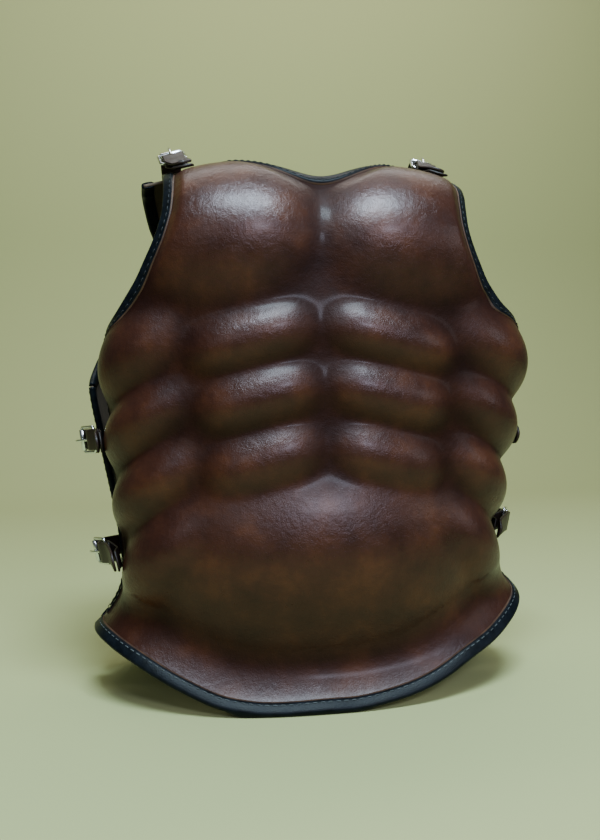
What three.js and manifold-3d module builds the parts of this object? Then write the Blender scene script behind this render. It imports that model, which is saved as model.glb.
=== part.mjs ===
// A muscle cuirass of moulded leather: a breast plate and a back plate with bound edges,
// held together by two shoulder straps and four side straps with roller buckles.
//
// Millimetres. +Z is up, the front faces -Y, and +X is the wearer's left.
// A point on a plate is named by two lengths: `around`, measured round the body from the
// plate's middle line, and `up`, measured up the plate from the lowest point of its rim.

import * as THREE from 'three';
import Module from 'manifold-3d';
import { mergeVertices } from 'three/addons/utils/BufferGeometryUtils.js';

const wasm = await Module();
wasm.setup();

// ---------------------------------------------------------------- driving sizes

const LEATHER = 3;                 // thickness of the moulded plates
const GAP = 0.55;                  // clearance between leather pieces that touch
const BINDING = { flap: 9, thick: 1.2 };
const STRAP = {
  width: 20, thick: 2.4, steps: 30, loose: 0.9, holes: 2, firstHole: 9, holePitch: 64, holeRadius: 1.8,
};
const CHAPE = {
  width: 19, thick: 2, steps: 26, fold: 11, neck: 6, swell: 0.6, slotWidth: 6, slotLength: 12,
};
const BUCKLE = {
  half: 11, inside: 21.6, corner: 3, wire: 1.5, roller: 2.7, bore: 1.9, endPlay: 0.6,
  prong: 1.2, tip: 6, droop: 0.6, sides: 8,
};

// The cuirass rests on its rims: their lowest stretches are pressed flat, this far below the
// plates' own zero.
const FOOT = { below: 1.5 };

// Moves the middle of the cuirass's footprint to the origin.
const SHIFT = new THREE.Vector3(-1.75, -3.9, FOOT.below);

// The plan of the torso: a rounded oblong, and the lengths along a quarter of it.
const PLAN = { halfWidth: 200, depth: 110, squareness: 2.4, steps: 720 };

// ---------------------------------------------------------------- the two plates

// Sections from the rim to the shoulder: height of the section, its half width, how far it
// reaches in front of (or behind) the side seams, and how far it sways to the wearer's left.
const FRONT_SECTIONS = [
  { up: 0, height: 0, halfWidth: 182, depth: 92, sway: 2 },
  { up: 60, height: 60, halfWidth: 181, depth: 93, sway: 0 },
  { up: 140, height: 140, halfWidth: 182, depth: 104, sway: -2 },
  { up: 230, height: 230, halfWidth: 193, depth: 101, sway: 2 },
  { up: 310, height: 310, halfWidth: 203, depth: 97, sway: 8 },
  { up: 380, height: 380, halfWidth: 203, depth: 92, sway: 7 },
  { up: 430, height: 430, halfWidth: 195, depth: 86, sway: 5 },
  { up: 465, height: 460, halfWidth: 188, depth: 70, sway: 5 },
  { up: 500, height: 485, halfWidth: 182, depth: 47, sway: 5 },
  { up: 530, height: 499, halfWidth: 177, depth: 20, sway: 5 },
  { up: 550, height: 503, halfWidth: 175, depth: 0, sway: 5 },
];
const BACK_SECTIONS = [
  { up: 0, height: 0, halfWidth: 181, depth: 92, sway: 0 },
  { up: 60, height: 60, halfWidth: 182, depth: 90, sway: 0 },
  { up: 140, height: 140, halfWidth: 187, depth: 92, sway: 0 },
  { up: 230, height: 230, halfWidth: 203, depth: 102, sway: 0 },
  { up: 290, height: 290, halfWidth: 213, depth: 108, sway: 0 },
  { up: 380, height: 378, halfWidth: 207, depth: 108, sway: 0 },
  { up: 440, height: 436, halfWidth: 200, depth: 94, sway: 0 },
  { up: 485, height: 474, halfWidth: 194, depth: 68, sway: 0 },
  { up: 520, height: 494, halfWidth: 188, depth: 38, sway: 0 },
  { up: 550, height: 502, halfWidth: 184, depth: 6, sway: 0 },
  { up: 560, height: 503, halfWidth: 183, depth: -6, sway: 0 },
];

// How high the rim climbs from the middle towards each side seam.
const FRONT_RIM_RIGHT = [
  { around: 0, up: 3 }, { around: 75, up: 4 }, { around: 95, up: 8 }, { around: 135, up: 25 },
  { around: 180, up: 46 }, { around: 211, up: 56 }, { around: 256, up: 59 },
];
const FRONT_RIM_LEFT = [
  { around: 0, up: 3 }, { around: 15, up: 3 }, { around: 45, up: 7 }, { around: 72, up: 13 },
  { around: 95, up: 21 }, { around: 127, up: 36 }, { around: 155, up: 47 }, { around: 184, up: 60 },
  { around: 222, up: 73 }, { around: 256, up: 81 },
];
const BACK_RIM = [
  { around: 0, up: 3 }, { around: 55, up: 3 }, { around: 105, up: 11 }, { around: 150, up: 27 },
  { around: 200, up: 50 }, { around: 256, up: 62 },
];

// The armholes: how far round the plate reaches at each height above the side seam.
const FRONT_ARMHOLE_RIGHT = [
  { up: 300, around: 256 }, { up: 318, around: 252 }, { up: 336, around: 234 },
  { up: 350, around: 210 }, { up: 373, around: 185 }, { up: 399, around: 168 },
  { up: 420, around: 158 }, { up: 440, around: 154 }, { up: 456, around: 155 },
  { up: 484, around: 159 }, { up: 545, around: 170 },
];
const FRONT_ARMHOLE_LEFT = [
  { up: 300, around: 256 }, { up: 320, around: 253 }, { up: 336, around: 238 },
  { up: 347, around: 214 }, { up: 360, around: 181 }, { up: 374, around: 164 },
  { up: 401, around: 148 }, { up: 430, around: 142 }, { up: 450, around: 146 },
  { up: 479, around: 156 }, { up: 545, around: 170 },
];
const BACK_ARMHOLE = [
  { up: 288, around: 256 }, { up: 297, around: 238 }, { up: 320, around: 212 },
  { up: 350, around: 190 }, { up: 380, around: 171 }, { up: 410, around: 157 },
  { up: 435, around: 150 }, { up: 449, around: 152 }, { up: 462, around: 158 },
  { up: 485, around: 166 }, { up: 520, around: 176 }, { up: 560, around: 182 },
];

// The moulded muscles. Each is a cushion of the given height, raised on both sides of the
// middle line (or once, on it), with half lengths along and across its own axis, which tilts
// in degrees. The greater `ends` and `sides`, the flatter its top before it falls away.
const FRONT_MUSCLES = table(
  ['name', 'around', 'up', 'along', 'across', 'tilt', 'raise', 'ends', 'sides'],
  ['chest', 94, 441, 88, 84, 0, 19, 2.6, 2.3],
  ['abdomen_1', 64, 328, 62, 27, -14.5, 13, 3, 2],
  ['abdomen_2', 61, 275, 60, 27, -14.5, 13, 3, 2],
  ['abdomen_3', 60, 218, 59, 29, -15, 13, 3, 2],
  ['rib_1', 192, 313, 70, 36, -26, 16, 2.1, 2],
  ['rib_2', 188, 251, 70, 29, -28, 17, 2.1, 2],
  ['rib_3', 182, 193, 70, 30, -30, 17, 2.1, 2],
  ['hip', 168, 130, 72, 40, -36, 21, 2, 1.9],
  ['belly', 0, 122, 192, 88, 0, 22, 2.4, 1.9],
);
const BACK_MUSCLES = table(
  ['name', 'around', 'up', 'along', 'across', 'tilt', 'raise', 'ends', 'sides'],
  ['shoulder_blade', 84, 420, 76, 66, -12, 11, 2.6, 2.4],
  ['flank', 140, 292, 84, 74, 38, 9, 2.4, 2.2],
  ['loin', 40, 205, 32, 122, 0, 10, 2.6, 2.2],
);

// How far the front's middle line wanders to the wearer's left on the way up.
const FRONT_MIDLINE = [
  { up: 0, shift: 0 }, { up: 118, shift: 0 }, { up: 221, shift: -2 }, { up: 278, shift: -7 },
  { up: 331, shift: -12 }, { up: 380, shift: -10 }, { up: 440, shift: -4 }, { up: 500, shift: -2 },
];
const BACK_MIDLINE = [{ up: 0, shift: 0 }, { up: 500, shift: 0 }];

const VALLEY = 3.4;                             // softness of the valleys between muscles
const MARGIN = { width: 24, keeps: 0.25 };      // the moulding fades out towards armhole and seam
const NECK_MARGIN = { width: 30, keeps: 0.5 };  // and towards the neck and shoulder
const SHOULDER = { from: 430, over: 100, start: 70, reach: 80, drop: 15 };

const FRONT = {
  facing: -1, seam: 0, seamTop: 300, columns: 34, rows: 38,
  sections: FRONT_SECTIONS, rimRight: FRONT_RIM_RIGHT, rimLeft: FRONT_RIM_LEFT,
  armholeRight: FRONT_ARMHOLE_RIGHT, armholeLeft: FRONT_ARMHOLE_LEFT, foot: { from: -75, to: 15 },
  neck: { middle: 489, end: 0.78, bound: 0.6 }, shoulderTop: 545, flare: { out: 30, reach: 52 },
  muscles: FRONT_MUSCLES, midline: FRONT_MIDLINE,
};
const BACK = {
  facing: 1, seam: 14, seamTop: 288, columns: 22, rows: 24,
  sections: BACK_SECTIONS, rimRight: BACK_RIM, rimLeft: BACK_RIM,
  armholeRight: BACK_ARMHOLE, armholeLeft: BACK_ARMHOLE, foot: { from: -55, to: 55 },
  neck: { middle: 497, end: 0.7, bound: 0.6 }, shoulderTop: 553, flare: { out: 24, reach: 50 },
  muscles: BACK_MUSCLES, midline: BACK_MIDLINE,
};

// ---------------------------------------------------------------- fasteners

// The fasteners: where the middle of the buckle stands, how far it leans out of the plate, how
// the strap's width turns from upright (or from level, on the shoulder), and the stretches of
// the straps that lie on the plates, as depths behind the front's seam.
const BUCKLES = [
  {
    name: 'upper_side', hand: 'right', centre: [-214.5, 5, 237], lean: 34, turn: 7,
    chape: [-36, -22], tail: [-33, -38], billet: [76, 48],
  },
  {
    name: 'upper_side', hand: 'left', centre: [218, 11, 237], lean: 34, turn: 7,
    chape: [-30, -16], tail: [-27, -32], billet: [82, 54],
  },
  {
    name: 'lower_side', hand: 'right', centre: [-204.5, 2, 129], lean: 30, turn: 12,
    chape: [-48, -27], tail: [-44, -50], billet: [68, 42],
  },
  {
    name: 'lower_side', hand: 'left', centre: [208, 6, 143], lean: 30, turn: 12,
    chape: [-36, -18], tail: [-38, -44], billet: [74, 48],
  },
  {
    name: 'shoulder', hand: 'right', centre: [-130, -1, 508], lean: 33, turn: 14,
    chape: [-40, -28], tail: [-33, -38], billet: [62, 38],
  },
  {
    name: 'shoulder', hand: 'left', centre: [122, 1, 507], lean: 33, turn: 14,
    chape: [-40, -28], tail: [-33, -38], billet: [62, 38],
  },
];
const STEP = 7;                    // spacing of a strap's guiding points where it lies on a plate
const BED = 1;                     // extra clearance that beds a strap on a plate's facets
const TRACED = 110;                // length of plate that a strap may lie on, in from its edge
const SAMPLES = 60;                // points that trace that length
const SHOULDER_AROUND = 1.08;      // length around the plate over distance out, on the shoulder

// ---------------------------------------------------------------- colours

const LEATHER_BROWN = { color: 0x3a2218, roughness: 0.4, metalness: 0 };
const LEATHER_BLACK = { color: 0x14171a, roughness: 0.45, metalness: 0 };
const LEATHER_STRAP = { color: 0x40291d, roughness: 0.55, metalness: 0 };
const STEEL = { color: 0xc9ced2, roughness: 0.25, metalness: 1 };

// ---------------------------------------------------------------- small helpers

// A table's rows as objects, from the names of its columns.
function table(columns, ...rows) {
  return rows.map((row) => Object.fromEntries(columns.map((name, i) => [name, row[i]])));
}

// A smooth curve through a table's rows: column `to` as a function of column `from`.
function curve(rows, from, to, at) {
  const count = rows.length;
  const x = Math.min(Math.max(at, rows[0][from]), rows[count - 1][from]);
  let i = 0;
  while (i < count - 2 && x >= rows[i + 1][from]) i += 1;
  const step = (k) => rows[k + 1][from] - rows[k][from];
  const slope = (k) => (rows[k + 1][to] - rows[k][to]) / step(k);
  const tangent = (k) => {
    if (k === 0) return slope(0);
    if (k === count - 1) return slope(count - 2);
    return (slope(k - 1) * step(k) + slope(k) * step(k - 1)) / (step(k - 1) + step(k));
  };
  const h = step(i);
  const k = (x - rows[i][from]) / h;
  return (1 + 2 * k) * (1 - k) ** 2 * rows[i][to] + k * (1 - k) ** 2 * h * tangent(i)
    + k * k * (3 - 2 * k) * rows[i + 1][to] - k * k * (1 - k) * h * tangent(i + 1);
}

function clamp01(value) {
  return Math.min(Math.max(value, 0), 1);
}

function smoothStep(value) {
  const k = clamp01(value);
  return k * k * (3 - 2 * k);
}

// The plan's outline at an angle from the front: 1 across at the side, 1 deep at the middle.
function planPoint(angle) {
  const sine = Math.sin(angle);
  const cosine = Math.cos(angle);
  const n = PLAN.squareness;
  const reach = (Math.abs(sine) ** n + Math.abs(cosine) ** n) ** (-1 / n);
  return { across: reach * sine, deep: reach * cosine };
}

// The length along the plan from the middle line to each of many even angles.
function planLengths() {
  const lengths = [0];
  for (let i = 1; i <= PLAN.steps; i += 1) {
    const a = planPoint(((i - 1) / PLAN.steps) * Math.PI / 2);
    const b = planPoint((i / PLAN.steps) * Math.PI / 2);
    const run = Math.hypot((b.across - a.across) * PLAN.halfWidth, (b.deep - a.deep) * PLAN.depth);
    lengths.push(lengths[i - 1] + run);
  }
  return lengths;
}

const PLAN_LENGTHS = planLengths();
const QUARTER = PLAN_LENGTHS[PLAN.steps];

function angleAround(around) {
  const length = Math.min(Math.abs(around), QUARTER);
  let low = 0;
  let high = PLAN.steps;
  while (high - low > 1) {
    const middle = (low + high) >> 1;
    if (PLAN_LENGTHS[middle] <= length) low = middle;
    else high = middle;
  }
  const part = (length - PLAN_LENGTHS[low]) / (PLAN_LENGTHS[high] - PLAN_LENGTHS[low]);
  return Math.sign(around) * ((low + part) / PLAN.steps) * Math.PI / 2;
}

// ---------------------------------------------------------------- the plates' surface

function rimUp(plate, around) {
  const rows = around > 0 ? plate.rimLeft : plate.rimRight;
  return curve(rows, 'around', 'up', Math.abs(around));
}

// How far round the plate reaches on one side; `side` is below zero on the wearer's right.
function edgeAround(plate, up, side) {
  if (up <= plate.seamTop) return QUARTER;
  return curve(side > 0 ? plate.armholeLeft : plate.armholeRight, 'up', 'around', up);
}

function topUp(plate, across) {
  const k = smoothStep(Math.abs(across) / plate.neck.end);
  return plate.neck.middle + (plate.shoulderTop - plate.neck.middle) * k;
}

// How much lower the shoulder lies, away from the neck.
function shoulderDrop(x, up) {
  const rise = clamp01((up - SHOULDER.from) / SHOULDER.over) ** 1.5;
  const outward = Math.max(0, (Math.abs(x) - SHOULDER.start) / SHOULDER.reach) ** 1.3;
  return SHOULDER.drop * rise * outward;
}

// The plain torso under the muscles, with its rim flared out.
function torsoPoint(plate, around, up) {
  const angle = angleAround(around);
  const plan = planPoint(angle);
  const along = (column) => curve(plate.sections, 'up', column, up);
  const above = clamp01(1 - (up - rimUp(plate, around)) / plate.flare.reach);
  const flare = plate.flare.out * above * above;
  const x = along('halfWidth') * plan.across + along('sway');
  const y = along('depth') * plan.deep;
  return new THREE.Vector3(
    x + flare * Math.sin(angle),
    plate.seam + plate.facing * (y + flare * Math.cos(angle)),
    along('height') - shoulderDrop(x, up),
  );
}

function cushion(muscle, side, around, up) {
  const tilt = THREE.MathUtils.degToRad(muscle.tilt);
  const away = side * around - muscle.around;
  const rise = up - muscle.up;
  const a = (away * Math.cos(tilt) + rise * Math.sin(tilt)) / muscle.along;
  const b = (-away * Math.sin(tilt) + rise * Math.cos(tilt)) / muscle.across;
  return muscle.raise * (1 - Math.abs(a) ** muscle.ends - Math.abs(b) ** muscle.sides);
}

// How far the moulding stands out of the torso: the cushions, blended where they meet.
function relief(plate, around, up) {
  const centred = 1 - (around / QUARTER) ** 2;
  const shifted = around - curve(plate.midline, 'up', 'shift', up) * centred;
  let sum = 1;
  for (const muscle of plate.muscles) {
    const sides = muscle.around === 0 ? [1] : [1, -1];
    for (const side of sides) {
      sum += Math.exp(Math.max(cushion(muscle, side, shifted, up) / VALLEY, -25));
    }
  }
  const edge = edgeAround(plate, up, around);
  return VALLEY * Math.log(sum) * faded(edge - Math.abs(around), MARGIN)
    * faded(topUp(plate, around / edge) - up, NECK_MARGIN);
}

// The share of the moulding that is left at a distance in from an edge.
function faded(distance, margin) {
  return margin.keeps + (1 - margin.keeps) * smoothStep(distance / margin.width);
}

// The outward normal of a surface given as a function of around and up. The steps it is
// measured over stay on the plate.
function normalOf(plate, surface, around, up) {
  const step = 0.5;
  const before = Math.max(around - step, -QUARTER);
  const after = Math.min(around + step, QUARTER);
  const level = Math.max(up, 0);
  const below = Math.max(level - step, 0);
  const across = surface(plate, after, level).sub(surface(plate, before, level));
  const upward = surface(plate, around, level + step).sub(surface(plate, around, below));
  return across.cross(upward).multiplyScalar(-plate.facing).normalize();
}

function mouldedPoint(plate, around, up) {
  const normal = normalOf(plate, torsoPoint, around, up);
  return torsoPoint(plate, around, up).addScaledVector(normal, relief(plate, around, up));
}

// The net's lines across a plate. The outermost ones keep the width of a binding's flap.
function aroundAt(plate, column, up) {
  const right = -edgeAround(plate, up, -1);
  const left = edgeAround(plate, up, 1);
  if (column === 0) return right;
  if (column === plate.columns) return left;
  const share = (column - 1) / (plate.columns - 2);
  return right + BINDING.flap + share * (left - right - 2 * BINDING.flap);
}

// The net's levels on one line up the plate, from rim to seam top and on to neck or shoulder.
function levelsOf(plate, column) {
  const { seamTop, shoulderTop } = plate;
  const rim = (i) => rimUp(plate, aroundAt(plate, i, seamTop));
  const top = (i) => {
    const around = aroundAt(plate, i, shoulderTop);
    return topUp(plate, around / edgeAround(plate, shoulderTop, around));
  };
  const flapUp = (border, level) => {
    const before = Math.max(column - 1, 0);
    const after = Math.min(column + 1, plate.columns);
    const run = aroundAt(plate, after, level) - aroundAt(plate, before, level);
    return BINDING.flap * Math.hypot(1, (border(after) - border(before)) / run);
  };
  const sideRow = sideRowOf(plate);
  const low = rim(column) + flapUp(rim, seamTop);
  const high = top(column) - flapUp(top, shoulderTop);
  const levels = [rim(column)];
  for (let j = 1; j < sideRow; j += 1) {
    levels.push(low + ((seamTop - low) * (j - 1)) / (sideRow - 1));
  }
  for (let j = sideRow; j < plate.rows; j += 1) {
    levels.push(seamTop + ((high - seamTop) * (j - sideRow)) / (plate.rows - 1 - sideRow));
  }
  levels.push(top(column));
  return levels;
}

// The row of the net that ends at the top of the side seam.
function sideRowOf(plate) {
  const low = rimUp(plate, QUARTER);
  return Math.round(plate.rows * (plate.seamTop - low) / (plate.shoulderTop - low));
}

// The plate as a net of points: each knot has its outer point, inner point and normal.
function plateNet(plate) {
  const levels = [];
  for (let i = 0; i <= plate.columns; i += 1) levels.push(levelsOf(plate, i));
  const net = [];
  for (let j = 0; j <= plate.rows; j += 1) {
    net.push(levels.map((level, i) => {
      const up = level[j];
      const around = aroundAt(plate, i, up);
      const normal = normalOf(plate, mouldedPoint, around, up);
      const outer = mouldedPoint(plate, around, up);
      const inner = outer.clone().addScaledVector(normal, -LEATHER);
      return { outer, inner, normal };
    }));
  }
  return net;
}

// ---------------------------------------------------------------- meshes

function geometryFrom(points, faces) {
  const geometry = new THREE.BufferGeometry();
  const numbers = points.flatMap((point) => point.toArray());
  geometry.setAttribute('position', new THREE.Float32BufferAttribute(numbers, 3));
  geometry.setIndex(faces.flat());
  return geometry;
}

// A closed shell from a net: its outer skin, its inner skin and the edge between them.
function shellGeometry(net, facing) {
  const rows = net.length;
  const columns = net[0].length;
  const points = [];
  for (const row of net) row.forEach((knot) => points.push(knot.outer));
  for (const row of net) row.forEach((knot) => points.push(knot.inner));
  const outer = (i, j) => j * columns + i;
  const inner = (i, j) => rows * columns + outer(i, j);
  const faces = [];
  const quad = (a, b, c, d) => {
    if (facing < 0) faces.push([a, b, c], [a, c, d]);
    else faces.push([a, c, b], [a, d, c]);
  };
  for (let j = 0; j < rows - 1; j += 1) {
    for (let i = 0; i < columns - 1; i += 1) {
      quad(outer(i, j), outer(i + 1, j), outer(i + 1, j + 1), outer(i, j + 1));
      quad(inner(i, j + 1), inner(i + 1, j + 1), inner(i + 1, j), inner(i, j));
    }
  }
  for (let i = 0; i < columns - 1; i += 1) {
    quad(inner(i, 0), inner(i + 1, 0), outer(i + 1, 0), outer(i, 0));
    quad(outer(i, rows - 1), outer(i + 1, rows - 1), inner(i + 1, rows - 1), inner(i, rows - 1));
  }
  const last = columns - 1;
  for (let j = 0; j < rows - 1; j += 1) {
    quad(outer(0, j), outer(0, j + 1), inner(0, j + 1), inner(0, j));
    quad(inner(last, j), inner(last, j + 1), outer(last, j + 1), outer(last, j));
  }
  return geometryFrom(points, faces);
}

// A solid swept through rings of points. The caps follow `outline`, the ring's flat shape.
function sweepGeometry(rings, outline, closed = false) {
  const size = rings[0].length;
  const faces = [];
  const last = closed ? rings.length : rings.length - 1;
  for (let k = 0; k < last; k += 1) {
    const next = (k + 1) % rings.length;
    for (let i = 0; i < size; i += 1) {
      const j = (i + 1) % size;
      faces.push([k * size + i, k * size + j, next * size + j]);
      faces.push([k * size + i, next * size + j, next * size + i]);
    }
  }
  if (!closed) {
    const end = (rings.length - 1) * size;
    for (const [a, b, c] of THREE.ShapeUtils.triangulateShape(outline, [])) {
      faces.push([c, b, a]);
      faces.push([end + a, end + b, end + c]);
    }
  }
  const geometry = geometryFrom(rings.flat(), faces);
  return volumeOf(geometry) < 0 ? turnedOut(geometry) : geometry;
}

function volumeOf(geometry) {
  const index = geometry.index.array;
  const position = geometry.attributes.position;
  const [a, b, c] = [new THREE.Vector3(), new THREE.Vector3(), new THREE.Vector3()];
  let volume = 0;
  for (let i = 0; i < index.length; i += 3) {
    a.fromBufferAttribute(position, index[i]);
    b.fromBufferAttribute(position, index[i + 1]);
    c.fromBufferAttribute(position, index[i + 2]);
    volume += a.dot(b.cross(c)) / 6;
  }
  return volume;
}

function turnedOut(geometry) {
  const index = Array.from(geometry.index.array);
  for (let i = 0; i < index.length; i += 3) {
    [index[i], index[i + 1]] = [index[i + 1], index[i]];
  }
  geometry.setIndex(index);
  return geometry;
}

function named(name, geometry, finish) {
  const mesh = new THREE.Mesh(geometry, new THREE.MeshStandardMaterial(finish));
  mesh.name = name;
  return mesh;
}

// ---------------------------------------------------------------- bindings

// The ring of a binding's section, folded over one knot of a plate's edge. `edge` is the
// knot on the edge and `inside` is the next knot of the net, where the flaps end.
function bindingRing(edge, inside) {
  const far = GAP + BINDING.thick;
  const skin = (side, sign) => {
    const inward = inside[side].clone().sub(edge[side]).normalize();
    const fold = (lift) => edge[side].clone().addScaledVector(inward, -lift)
      .addScaledVector(edge.normal, sign * lift);
    const flap = (lift) => inside[side].clone().addScaledVector(inside.normal, sign * lift);
    return { flapNear: flap(GAP), flapFar: flap(far), foldNear: fold(GAP), foldFar: fold(far) };
  };
  const outer = skin('outer', 1);
  const inner = skin('inner', -1);
  return [
    outer.flapFar, outer.foldFar, inner.foldFar, inner.flapFar,
    inner.flapNear, inner.foldNear, outer.foldNear, outer.flapNear,
  ];
}

const BINDING_OUTLINE = [
  [9, 1], [-1, 1], [-1, -4], [9, -4], [9, -3], [0, -3], [0, 0], [9, 0],
].map(([x, y]) => new THREE.Vector2(x, y));

// Rings moved from one to the next by a length, so that neighbours keep a small gap.
function shifted(ring, towards, length) {
  const run = towards[1].clone().sub(ring[1]);
  const share = length / run.length();
  return ring.map((point, i) => point.clone().lerp(towards[i], share));
}

function binding(rings, startShift, endShift) {
  const count = rings.length;
  const start = shifted(rings[0], rings[1], startShift);
  const end = shifted(rings[count - 1], rings[count - 2], endShift);
  return sweepGeometry([start, ...rings.slice(1, -1), end], BINDING_OUTLINE);
}

// Presses the rim's fold flat where the cuirass stands on it.
function pressedFlat(rings, foot) {
  const [outerFold, innerFold] = [1, 2];
  for (const ring of rings) {
    if (ring[innerFold].x < foot.from || ring[innerFold].x > foot.to) continue;
    ring[outerFold].z = -FOOT.below;
    ring[innerFold].z = -FOOT.below;
  }
  return rings;
}

function bindingsOf(plate, name, net) {
  const last = plate.rows;
  const columns = plate.columns;
  const sideRow = sideRowOf(plate);
  const rim = net[0].map((knot, i) => bindingRing(knot, net[1][i]));
  const neckStart = Math.round(((1 - plate.neck.bound) * columns) / 2);
  const neck = net[last].map((knot, i) => bindingRing(knot, net[last - 1][i]))
    .slice(neckStart, columns - neckStart + 1).reverse();
  const right = net.map((row) => bindingRing(row[0], row[1]));
  const left = net.map((row) => bindingRing(row[columns], row[columns - 1]));
  const overhang = -(BINDING.thick + GAP);
  const strips = {
    rim_binding: binding(pressedFlat(rim, plate.foot), overhang, overhang),
    neck_binding: binding(neck, 0, 0),
    side_binding_right: binding(right.slice(1, sideRow + 1), GAP, GAP),
    armhole_binding_right: binding(right.slice(sideRow), GAP, 0),
    side_binding_left: binding(left.slice(1, sideRow + 1).reverse(), GAP, GAP),
    armhole_binding_left: binding(left.slice(sideRow).reverse(), 0, GAP),
  };
  return Object.entries(strips).map(([part, strip]) => named(`${name}_${part}`, strip, LEATHER_BLACK));
}

// ---------------------------------------------------------------- straps and buckles

// A strap swept along a path, with its width along `wide`.
function ribbonGeometry(path, wide, width, thick, steps) {
  const route = new THREE.CatmullRomCurve3(path, false, 'centripetal');
  const outline = [[-1, -1], [1, -1], [1, 1], [-1, 1]].map(([x, y]) => new THREE.Vector2(x, y));
  const rings = [];
  for (let k = 0; k <= steps; k += 1) {
    const centre = route.getPointAt(k / steps);
    const out = route.getTangentAt(k / steps).cross(wide).normalize();
    rings.push(outline.map((corner) => centre.clone()
      .addScaledVector(wide, (corner.x * width) / 2)
      .addScaledVector(out, (corner.y * thick) / 2)));
  }
  return sweepGeometry(rings, outline);
}

// A round wire along a path of points in one plane; `wide` is the plane's normal.
function wireGeometry(points, wide, radius, sides, closed) {
  const outline = [];
  for (let i = 0; i < sides; i += 1) {
    const turn = (i / sides) * Math.PI * 2;
    outline.push(new THREE.Vector2(Math.cos(turn), Math.sin(turn)));
  }
  const count = points.length;
  const rings = points.map((centre, k) => {
    const before = points[closed ? (k + count - 1) % count : Math.max(k - 1, 0)];
    const after = points[closed ? (k + 1) % count : Math.min(k + 1, count - 1)];
    const out = after.clone().sub(before).normalize().cross(wide).normalize();
    return outline.map((corner) => centre.clone()
      .addScaledVector(wide, corner.x * radius)
      .addScaledVector(out, corner.y * radius));
  });
  return sweepGeometry(rings, outline, closed);
}

function toManifold(geometry) {
  const bare = new THREE.BufferGeometry();
  bare.setAttribute('position', geometry.attributes.position.clone());
  bare.setIndex(geometry.index.clone());
  const merged = mergeVertices(bare, 1e-4);
  return new wasm.Manifold(new wasm.Mesh({
    numProp: 3,
    vertProperties: new Float32Array(merged.attributes.position.array),
    triVerts: new Uint32Array(merged.index.array),
  }));
}

function fromManifold(solid) {
  const mesh = solid.getMesh();
  const geometry = new THREE.BufferGeometry();
  geometry.setAttribute('position', new THREE.BufferAttribute(new Float32Array(mesh.vertProperties), 3));
  geometry.setIndex(new THREE.BufferAttribute(new Uint32Array(mesh.triVerts), 1));
  return geometry;
}

function cutAway(geometry, cutters) {
  let solid = toManifold(geometry);
  for (const cutter of cutters) solid = solid.subtract(toManifold(cutter));
  return fromManifold(solid);
}

// Where a strap lies on a plate at a given distance from front to back: the point of the
// plate under the strap's middle, raised to the highest crest across the strap's width,
// and the outward direction square to the strap.
function seatUnder(plate, strap, y) {
  const profile = (offset) => {
    const cut = [];
    for (let k = 0; k <= SAMPLES; k += 1) cut.push(strap.trace(plate, offset, k / SAMPLES));
    const reach = cut.map((point) => Math.abs(point.y - y));
    const nearest = reach.indexOf(Math.min(...reach));
    const a = cut[Math.max(nearest - 1, 0)];
    const b = cut[Math.min(nearest + 1, cut.length - 1)];
    const share = clamp01((y - a.y) / (b.y - a.y));
    return { point: a.clone().lerp(b, share), run: b.clone().sub(a) };
  };
  const middle = profile(0);
  const out = middle.run.clone().cross(strap.wide).normalize();
  if (out.dot(strap.out) < 0) out.negate();
  const lifts = [-1 / 2, -1 / 4, 1 / 4, 1 / 2].map((share) => (
    profile(share * STRAP.width).point.sub(middle.point).dot(out)
  ));
  return { point: middle.point.addScaledVector(out, Math.max(0, ...lifts)), out };
}

// Guiding points of a strap that lies on a plate from one depth to another.
function laidOn(plate, strap, from, to, lift) {
  const count = Math.max(1, Math.round(Math.abs(to - from) / STEP));
  const points = [];
  for (let k = 0; k <= count; k += 1) {
    const seat = seatUnder(plate, strap, from + ((to - from) * k) / count);
    points.push(seat.point.addScaledVector(seat.out, lift + BED));
  }
  return points;
}

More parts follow.
